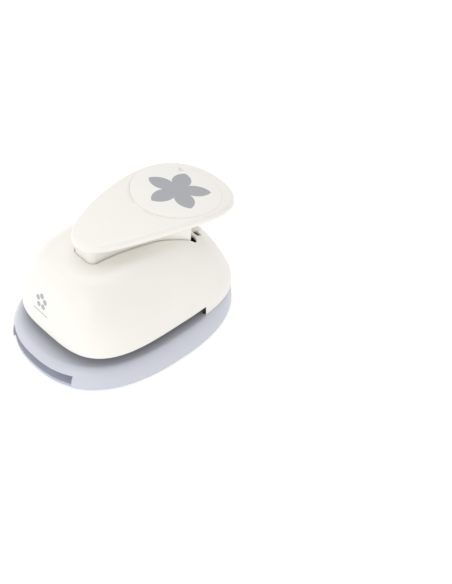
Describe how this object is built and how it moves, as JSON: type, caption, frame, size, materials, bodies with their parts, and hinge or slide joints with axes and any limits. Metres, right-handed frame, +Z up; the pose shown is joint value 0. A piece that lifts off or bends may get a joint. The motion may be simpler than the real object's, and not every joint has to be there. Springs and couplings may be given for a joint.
{
  "type": "craft punch",
  "caption": "Lever craft punch: rounded base with a paper throat, smooth upper housing, and a teardrop lever that drives a flower-shaped cutter through paper.",
  "frame": {"origin": "on the table, under the middle of the punch's bounding box; the flower's vertical axis is x = 0, y = -0.0052", "axes": "+Z up; the base's rounded nose, where the finger recess is, points to -Y; the lever's wide press pad is at +Y; X is across, and the punch is symmetric left to right"},
  "size_m": [0.099, 0.1362, 0.0712],
  "materials": {
    "base_plastic": "satin moulded plastic, lavender grey",
    "ivory_plastic": "satin moulded plastic, warm ivory white",
    "steel": "ground and plated steel",
    "cast_block": "black coated casting",
    "rubber": "matte moulded rubber",
    "nylon": "natural nylon",
    "spring_steel": "bright drawn spring wire"
  },
  "bodies": {
    "base": {"base_shell": "base_plastic", "bottom_cover": "base_plastic", "rubber_feet": "rubber", "cover_screws": "steel", "die_plate": "steel", "die_screws": "steel", "throat_spacer": "steel", "guide_block": "cast_block", "frame_rivets": "steel", "guide_posts": "steel", "pivot_bracket": "steel", "bracket_screws": "steel", "pivot_pin": "steel", "pivot_clips": "steel", "upper_housing": "ivory_plastic", "housing_front_screws": "steel", "housing_rear_screws": "steel", "return_spring_left": "spring_steel", "return_spring_right": "spring_steel"},
    "lever": {"lever_cover": "ivory_plastic", "pad_disc": "ivory_plastic", "lever_arm": "steel", "arm_screws": "steel", "press_nose": "nylon", "nose_pin": "steel"},
    "plunger": {"punch_cutter": "steel", "pusher_plate": "steel", "pusher_screws": "steel"}
  },
  "joints": [
    {"name": "lever_hinge", "type": "hinge", "parent": "base", "child": "lever", "pos_m": [0, -0.02972, 0.046], "axis": [-1, 0, 0], "range_deg": [0, 10], "stiffness_Nm_per_rad": 1.7, "springref_deg": -9.74},
    {"name": "plunger_slide", "type": "slide", "parent": "base", "child": "plunger", "axis": [0, 0, -1], "range_m": [0, 0.0042], "deforming": ["return_spring_left", "return_spring_right"]}
  ],
  "couplings": [
    {"joint": "plunger_slide", "follows": "lever_hinge", "m_per_rad": 0.02405}
  ]
}
